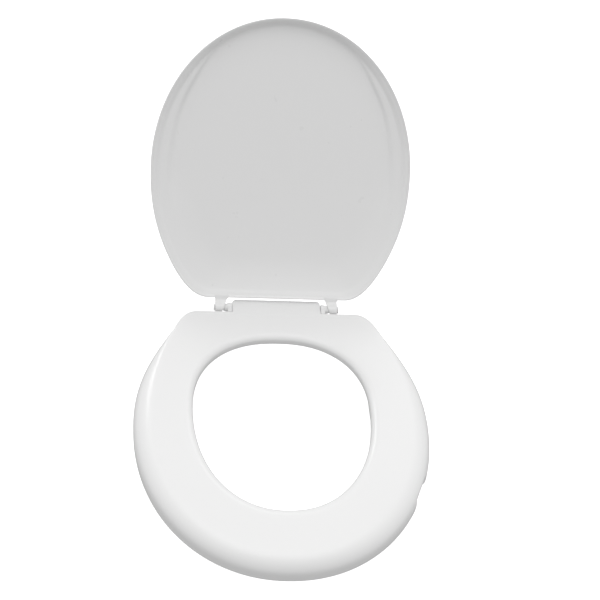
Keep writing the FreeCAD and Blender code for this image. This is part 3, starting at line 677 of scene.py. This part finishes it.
LID_SIDE = 10.3 * MM
LID_FRONT = 19.3 * MM
LID_BACK = 5.5 * MM
LID_FRONT_POWER = 2.03
LID_FLANK_POWER = 2.2
LID_FLAT_HALF = 94 * MM
LID_CORNER = 46 * MM
LID_CORNER_SPREAD = 1.09
LID_FLAT_DRAW = 0.7
LID_GAP = 0.6 * MM
LID_DEPTH = 15 * MM
LID_RIM = 3 * MM
LID_SHOULDER = 26.4 * MM
LID_FLOOR = TOP + LID_GAP
LID_MIDDLE = np.array([0, STATION + 10 * MM])

# The inner face as (inset, depth) in millimetres, from the rim inwards.  On the sides there are two
# steps with a level strip between them; at the front one steep wall; at the rear one slow slope.
SIDE_FACE = (
    (1.5, 0), (2.2, 0.25), (2.9, 1.3), (4.6, 2.0), (7.4, 3.8), (9.6, 5.7), (11.0, 6.5), (12.8, 6.9),
    (16.5, 7.1), (20.5, 7.6), (23.3, 8.8), (25.6, 10.4), (27.8, 11.3), (31.0, 11.8), (38.0, 12.1),
    (48.0, 12.2),
)
FRONT_FACE = (
    (1.3, 0.1), (2.2, 0.5), (3.2, 1.3), (4.0, 2.6), (5.0, 4.8), (6.0, 6.9), (6.9, 8.8), (7.7, 10.2),
    (8.5, 11.2), (9.4, 11.8), (10.4, 12.1), (11.8, 12.2), (14.0, 12.2), (18.0, 12.2), (26.0, 12.2),
    (40.0, 12.2),
)
REAR_FACE = (
    (1.5, 0), (2.2, 0.25), (2.9, 1.3), (4.6, 1.8), (7.4, 3.0), (9.6, 4.2), (11.0, 4.9), (12.8, 5.5),
    (16.5, 6.5), (20.5, 7.5), (23.3, 8.1), (25.6, 8.6), (27.8, 9.1), (31.0, 9.7), (38.0, 10.8),
    (48.0, 12.0),
)
RIM_FACE = ((0, 0.8), (0.25, 0.25), (0.8, 0))
PANEL_DEPTH = 12.3 * MM
EDGE_LOOPS = 14
BACK_SHARES = (0.85, 0.65, 0.45, 0.25, 0.1, 0.03)
PANEL_SHARES = (0.92, 0.8, 0.65, 0.5, 0.35, 0.2, 0.1, 0.03)

# Where the three faces give way to one another, as shares of the lid's length ahead of its widest place
# (closing, wall) or behind it (fade).  Insets beyond STEPS_START, in millimetres, close up at the front.
CLOSING_START = 0.25
CLOSING_LENGTH = 0.62
CLOSING_POWER = 1.15
WALL_START = 0.62
WALL_END = 0.93
FADE_START = -0.02
FADE_END = 0.5
STEPS_START = 10.0
STEPS_KEPT = 0.42


def lid_outline(places, inset=0.0):
    """The closed lid's outline, drawn in by an inset that may differ from point to point."""
    return egg_outline(places, HALF_WIDTH - LID_SIDE - inset, FRONT_REACH - LID_FRONT - inset,
                       BACK_REACH - LID_BACK - inset, LID_FLAT_HALF - LID_FLAT_DRAW * inset, LID_CORNER,
                       LID_CORNER_SPREAD, LID_FRONT_POWER, LID_FLANK_POWER)


LID_PLACES = even_places(lid_outline, COLUMNS)


def lid_row(inset, rise):
    """A loop of the lid at an inset from its edge; rise is its height over the rim."""
    points = lid_outline(LID_PLACES, inset)
    return np.column_stack([points, np.broadcast_to(LID_FLOOR + rise, COLUMNS)])


def eased(values, start, end):
    """0 up to start, 1 from end on, and an eased step between."""
    share = np.clip((values - start) / (end - start), 0, 1)
    return share * share * (3 - 2 * share)


def lid_face_rows():
    """Loops of the inner face: the side steps close up towards the front wall and fade at the rear."""
    y = lid_outline(LID_PLACES)[:, 1] - STATION
    forward = -y / (FRONT_REACH - LID_FRONT)
    rearward = y / (BACK_REACH - LID_BACK)
    closing = np.clip((forward - CLOSING_START) / CLOSING_LENGTH, 0, 1) ** CLOSING_POWER
    wall = eased(forward, WALL_START, WALL_END)
    fade = eased(rearward, FADE_START, FADE_END)
    rows = []
    for side, front, rear in zip(SIDE_FACE, FRONT_FACE, REAR_FACE):
        tight = side[0]
        if side[0] > STEPS_START:
            tight = STEPS_START + (side[0] - STEPS_START) * STEPS_KEPT
        inset = side[0] + (tight - side[0]) * closing
        depth = side[1] + (rear[1] - side[1]) * fade
        inset = inset + (front[0] - inset) * wall
        depth = depth + (front[1] - depth) * wall
        rows.append(lid_row(inset * MM, depth * MM))
    return rows


def towards_middle(row, shares, level):
    """Loops that shrink from a row to the lid's middle and ease to a level."""
    rows = []
    for share in shares:
        points = LID_MIDDLE + (row[:, :2] - LID_MIDDLE) * share
        rows.append(np.column_stack([points, row[:, 2] * share + level * (1 - share)]))
    return rows


def build_lid_shell():
    """The lid as one thin skin: its back, rounded edge, rim, dished face and panel."""
    outside = []
    for turn in np.linspace(0, 90, EDGE_LOOPS):
        angle = math.radians(turn)
        rise = LID_RIM + (LID_DEPTH - LID_RIM) * math.sin(angle)
        outside.append(lid_row(LID_SHOULDER * (1 - math.cos(angle)), rise))
    back = towards_middle(outside[-1], BACK_SHARES, LID_FLOOR + LID_DEPTH)
    rim = [lid_row(inset * MM, rise * MM) for inset, rise in RIM_FACE]
    face = lid_face_rows()
    panel = towards_middle(face[-1], PANEL_SHARES, LID_FLOOR + PANEL_DEPTH)
    return loft("lid_shell", back[::-1] + outside[::-1] + rim + face + panel)


# the arms and lugs, in the closed lid's place
ARM_INNER = 66.9 * MM
ARM_OUTER = 83.5 * MM
ARM_TAPER = 7.8 * MM
ARM_EYE = 6.5 * MM
ARM_HEIGHT = 7.5 * MM
ARM_FLARE = 1.2 * MM
ARM_SLOPE_START = BACK_EDGE - 2.9 * MM
ARM_SLOPE = 1.28
ARM_ROOT = 3 * MM
ARM_LIFT = 0.05 * MM
ARM_CORNER = 1.0 * MM
ARM_LOOPS = 18
ARM_EYE_BEVEL = 0.4 * MM
LUG_INNER = 60.8 * MM
LUG_OUTER = 66.5 * MM
LUG_RADIUS = 6.7 * MM
CONE_LENGTH = 8.5 * MM
CONE_END = 3.4 * MM
CONE_GAP = 0.35 * MM
CONE_SINK = 1 * MM
CONE_STEP = 0.2 * MM
LUG_GAP = 0.4 * MM
LUG_BEVEL = 0.7 * MM
LUG_EYE_SLACK = 0.01 * MM
LUG_FOOT_TURNS = (0, 22.5, 45, 67.5, 90)
PIN_BORE = 3.1 * MM
BORE_OVERRUN = 5 * MM
LUG_BORE_OVERRUN = 10 * MM


def arm_section(y):
    """The arm's cross-section at a place along it: it flares where it leaves the lid."""
    back_wall = BACK_EDGE - LID_BACK
    leaving = max(0.0, 1 - max(0.0, y - back_wall) / ARM_ROOT)
    flare = ARM_FLARE * leaving ** 2
    share = (y - back_wall) / (HINGE.y - back_wall)
    high = LID_FLOOR + ARM_HEIGHT + (HINGE.z + ARM_EYE - LID_FLOOR - ARM_HEIGHT) * max(0.0, share)
    low = LID_FLOOR + ARM_LIFT - ARM_SLOPE * max(0.0, y - ARM_SLOPE_START)
    low = max(low, HINGE.z - ARM_EYE / 2)
    outline = rounded_box_outline(ARM_INNER - flare, low, ARM_OUTER + flare, high, ARM_CORNER)
    return [(x, y, z) for x, z in outline]


def mirrored_x(item):
    item.data.transform(Matrix.Scale(-1, 4, (1, 0, 0)))
    item.data.flip_normals()
    return item


def build_arm():
    """The right arm: a web from the lid's back edge to a round eye, thinner towards the eye."""
    back_wall = BACK_EDGE - LID_BACK
    web = loft("arm", [arm_section(y) for y in np.linspace(back_wall - ARM_ROOT, HINGE.y, ARM_LOOPS)])
    eye = extruded("eye", circle_outline(HINGE.y, HINGE.z, ARM_EYE), "x", ARM_INNER, ARM_OUTER,
                   ARM_EYE_BEVEL)
    arm = apply_boolean(web, eye, "UNION")
    for vertex in arm.data.vertices:
        share = (vertex.co.y - back_wall) / (HINGE.y + ARM_EYE - back_wall)
        shift = ARM_TAPER * min(1.0, max(0.0, share))
        vertex.co.x += shift * (ARM_OUTER - vertex.co.x) / (ARM_OUTER - ARM_INNER)
    recess = cone_on_hinge("recess", LUG_OUTER, LUG_OUTER + CONE_LENGTH + CONE_GAP,
                           LUG_RADIUS + CONE_GAP, CONE_END + CONE_GAP)
    arm = apply_boolean(arm, recess, "DIFFERENCE")
    bore = extruded("bore", circle_outline(HINGE.y, HINGE.z, PIN_BORE), "x", LUG_OUTER,
                    ARM_OUTER + BORE_OVERRUN)
    return apply_boolean(arm, bore, "DIFFERENCE")


def open_lid(item):
    """Turns the lid from its closed place, where it is built, to the open one."""
    pivot = Matrix.Translation(HINGE)
    swing = Matrix.Rotation(-LID_OPEN, 4, "X")
    item.data.transform(pivot @ swing @ pivot.inverted())


lid = build_lid_shell()
lid = apply_boolean(lid, build_arm(), "UNION")
lid = apply_boolean(lid, mirrored_x(build_arm()), "UNION")
open_lid(lid)
smooth_object(lid)
finish_piece(lid, LID_WHITE, "lid", "lid_plastic", "lid")


# ---------------------------------------------------------------- hinge lugs


def build_lug():
    """The right lug: a web that hugs the ring's back, a round eye and a bearing cone."""
    foot = []
    for turn in LUG_FOOT_TURNS:
        swing = math.radians(turn)
        rise = (RING_DEPTH - FLANK_START) * math.sin(swing)
        behind = BACK_EDGE - BACK_INSET * (1 - math.cos(swing)) + LUG_GAP
        foot.append((behind, SKIRT + FLANK_START + rise))
    back = HINGE.y + LUG_RADIUS
    outline = foot + [(HINGE.y, HINGE.z + LUG_RADIUS), (back, HINGE.z), (back - LUG_RADIUS / 2, foot[0][1])]
    web = extruded("lug", outline, "x", LUG_INNER, LUG_OUTER, LUG_BEVEL)
    eye = extruded("lug_eye", circle_outline(HINGE.y, HINGE.z, LUG_RADIUS), "x", LUG_INNER - LUG_EYE_SLACK,
                   LUG_OUTER + LUG_EYE_SLACK, LUG_BEVEL)
    lug = apply_boolean(web, eye, "UNION")
    cone = cone_on_hinge("cone", LUG_OUTER - CONE_SINK, LUG_OUTER + CONE_LENGTH, LUG_RADIUS - CONE_STEP,
                         CONE_END)
    lug = apply_boolean(lug, cone, "UNION")
    bore = extruded("bore", circle_outline(HINGE.y, HINGE.z, PIN_BORE), "x", LUG_INNER - BORE_OVERRUN,
                    LUG_OUTER + LUG_BORE_OVERRUN)
    return apply_boolean(lug, bore, "DIFFERENCE")


for side in ("left", "right"):
    lug = build_lug()
    if side == "left":
        lug = mirrored_x(lug)
    lug.name = f"hinge_lug_shell_{side}"
    smooth_object(lug)
    finish_piece(lug, HINGE_WHITE, "seat", "hinge_plastic", f"hinge_lug_{side}")


# ---------------------------------------------------------------- materials on the other CAD parts


def paint_cad(name, material):
    item = frame["nodes"][name]
    item.data.materials.clear()
    item.data.materials.append(material)
    smooth_object(item, 30)


for node in frame["nodes"]:
    if node.startswith("hinge_pin"):
        paint_cad(node, HINGE_WHITE)
    elif node == "riser_base":
        paint_cad(node, RISER_WHITE)
    elif node.startswith("bracket_bolt"):
        paint_cad(node, BOLT_WHITE)
    elif node in ("bracket_washers", "riser_screws"):
        paint_cad(node, STEEL)
    elif node.startswith("bracket"):
        paint_cad(node, BRACKET_WHITE)
    elif "pad" in node:
        paint_cad(node, GREY_RUBBER)


# ---------------------------------------------------------------- floor, light and camera

# brightness of the studio by height: (0 straight down, 0.5 level, 1 straight up)
SKY = ((0.02, 0.55), (0.2, 0.5), (0.36, 0.28), (0.46, 0.28), (0.54, 0.80), (0.98, 0.80))
FRONT_STRENGTH = 0.88
BACK_STRENGTH = 1.12
FLOOR_HALF = 6


def build_floor():
    """A pale floor that glows a little and throws no light back onto the seat."""
    corners = [(-FLOOR_HALF, -FLOOR_HALF, 0), (FLOOR_HALF, -FLOOR_HALF, 0), (FLOOR_HALF, FLOOR_HALF, 0),
               (-FLOOR_HALF, FLOOR_HALF, 0)]
    mesh = mesh_from("floor", corners, [(0, 1, 2, 3)])
    floor = add_object("floor", mesh)
    material, _, _, shader = new_material("pale_floor")
    shader.inputs["Base Color"].default_value = (0.9, 0.9, 0.9, 1)
    shader.inputs["Roughness"].default_value = 1.0
    shader.inputs["Specular IOR Level"].default_value = 0.0
    shader.inputs["Emission Color"].default_value = (1, 1, 1, 1)
    shader.inputs["Emission Strength"].default_value = 0.75
    mesh.materials.append(material)
    floor.visible_diffuse = False
    floor.visible_glossy = False


def build_world():
    """A soft studio dome: dim below the horizon, bright above, and brighter at the back."""
    world = bpy.data.worlds.new("studio")
    bpy.context.scene.world = world
    world.use_nodes = True
    nodes = world.node_tree.nodes
    links = world.node_tree.links
    place = nodes.new("ShaderNodeTexCoord")
    split = nodes.new("ShaderNodeSeparateXYZ")
    links.new(place.outputs["Generated"], split.inputs["Vector"])
    ramp = nodes.new("ShaderNodeValToRGB")
    ramp.color_ramp.elements[0].position = 0.0
    ramp.color_ramp.elements[1].position = 1.0
    for position, level in SKY:
        stop = ramp.color_ramp.elements.new(position)
        stop.color = (level, level, level, 1)
    ramp.color_ramp.elements.remove(ramp.color_ramp.elements[0])
    ramp.color_ramp.elements.remove(ramp.color_ramp.elements[-1])
    shift = nodes.new("ShaderNodeMapRange")
    shift.inputs["From Min"].default_value = -1.0
    shift.inputs["From Max"].default_value = 1.0
    links.new(split.outputs["Z"], shift.inputs["Value"])
    links.new(shift.outputs["Result"], ramp.inputs["Fac"])
    back = nodes.new("ShaderNodeMapRange")
    back.inputs["From Min"].default_value = -1.0
    back.inputs["From Max"].default_value = 1.0
    back.inputs["To Min"].default_value = FRONT_STRENGTH
    back.inputs["To Max"].default_value = BACK_STRENGTH
    links.new(split.outputs["Y"], back.inputs["Value"])
    background = nodes["Background"]
    links.new(ramp.outputs["Color"], background.inputs["Color"])
    links.new(back.outputs["Result"], background.inputs["Strength"])


def area_light(name, place, target, size, watts):
    data = bpy.data.lights.new(name, "AREA")
    data.shape = "RECTANGLE"
    data.size, data.size_y = size
    data.energy = watts
    light = add_object(name, data)
    light.location = place
    light.rotation_euler = (Vector(target) - Vector(place)).to_track_quat("-Z", "Y").to_euler()


def build_camera():
    """The camera stands a little to the left, looking down at 44 degrees, tipped by 8 degrees."""
    azimuth = math.radians(-9.19)
    elevation = math.radians(44.36)
    roll = math.radians(7.98)
    distance = 1.4614
    target = Vector((31.05 * MM, STATION + 184.99 * MM, SKIRT + 40 * MM))
    back = Vector((math.sin(azimuth) * math.cos(elevation), -math.cos(azimuth) * math.cos(elevation),
                   math.sin(elevation)))
    right = Vector((math.cos(azimuth), math.sin(azimuth), 0))
    up = back.cross(right)
    x_axis = right * math.cos(roll) + up * math.sin(roll)
    y_axis = -right * math.sin(roll) + up * math.cos(roll)
    turn = Matrix((x_axis, y_axis, back)).transposed().to_4x4()
    data = bpy.data.cameras.new("camera")
    data.sensor_width = 36
    data.lens = 64.42
    data.clip_start = 0.05
    data.clip_end = 30
    camera = add_object("camera", data)
    camera.matrix_world = Matrix.Translation(target + back * distance) @ turn
    bpy.context.scene.camera = camera


build_floor()
build_world()
area_light("top_light", place=(0, 0.35, 2.4), target=(0, -0.1, 0), size=(1.5, 1.5), watts=8.0)
area_light("back_left_light", place=(-0.62, 1.35, 1.35), target=(-0.1, -0.1, 0.05), size=(0.45, 0.45),
           watts=3.5)
area_light("back_right_light", place=(0.6, 1.5, 1.5), target=(0.1, -0.1, 0.05), size=(0.9, 0.7),
           watts=3.0)
build_camera()
bpy.context.scene.view_settings.view_transform = "Standard"
